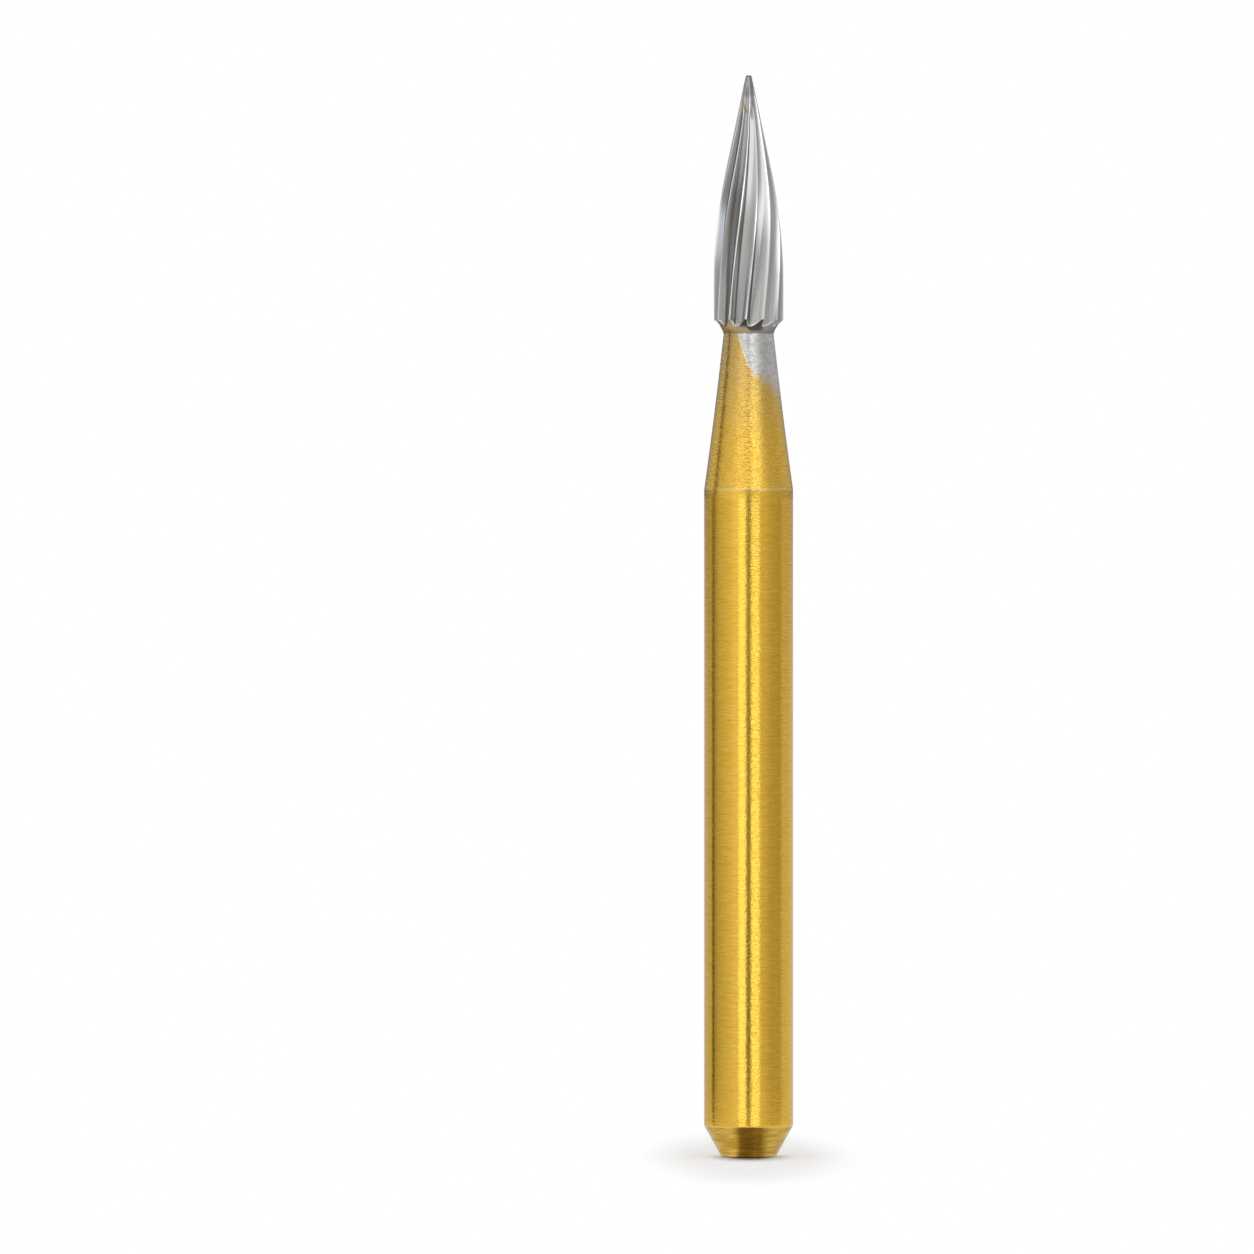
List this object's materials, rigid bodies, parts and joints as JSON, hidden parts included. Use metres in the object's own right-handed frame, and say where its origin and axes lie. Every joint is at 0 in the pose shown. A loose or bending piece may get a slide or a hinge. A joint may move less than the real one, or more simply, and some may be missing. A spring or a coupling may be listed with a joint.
{
  "type": "dental bur",
  "caption": "Flame-shaped dental bur: a fluted carbide head that narrows to a fine tip, on a slim tapered neck and a straight gold-coloured shank with a bevelled end.",
  "frame": {"origin": "centre of the flat end of the shank, on which the bur stands", "axes": "+Z along the axis from the shank's end to the tip of the head; the head is alike all round, with a cutting edge 4 degrees to the -X side of -Y at its back edge"},
  "size_m": [0.0016, 0.0016, 0.0194],
  "materials": {
    "plated_steel": "gold-coloured plating over fine turning marks, worn through beside the head",
    "carbide": "bright ground carbide with fine grinding lines along the flutes"
  },
  "bodies": {
    "root": {"shank": "plated_steel", "cutting_head": "carbide"}
  },
  "joints": []
}
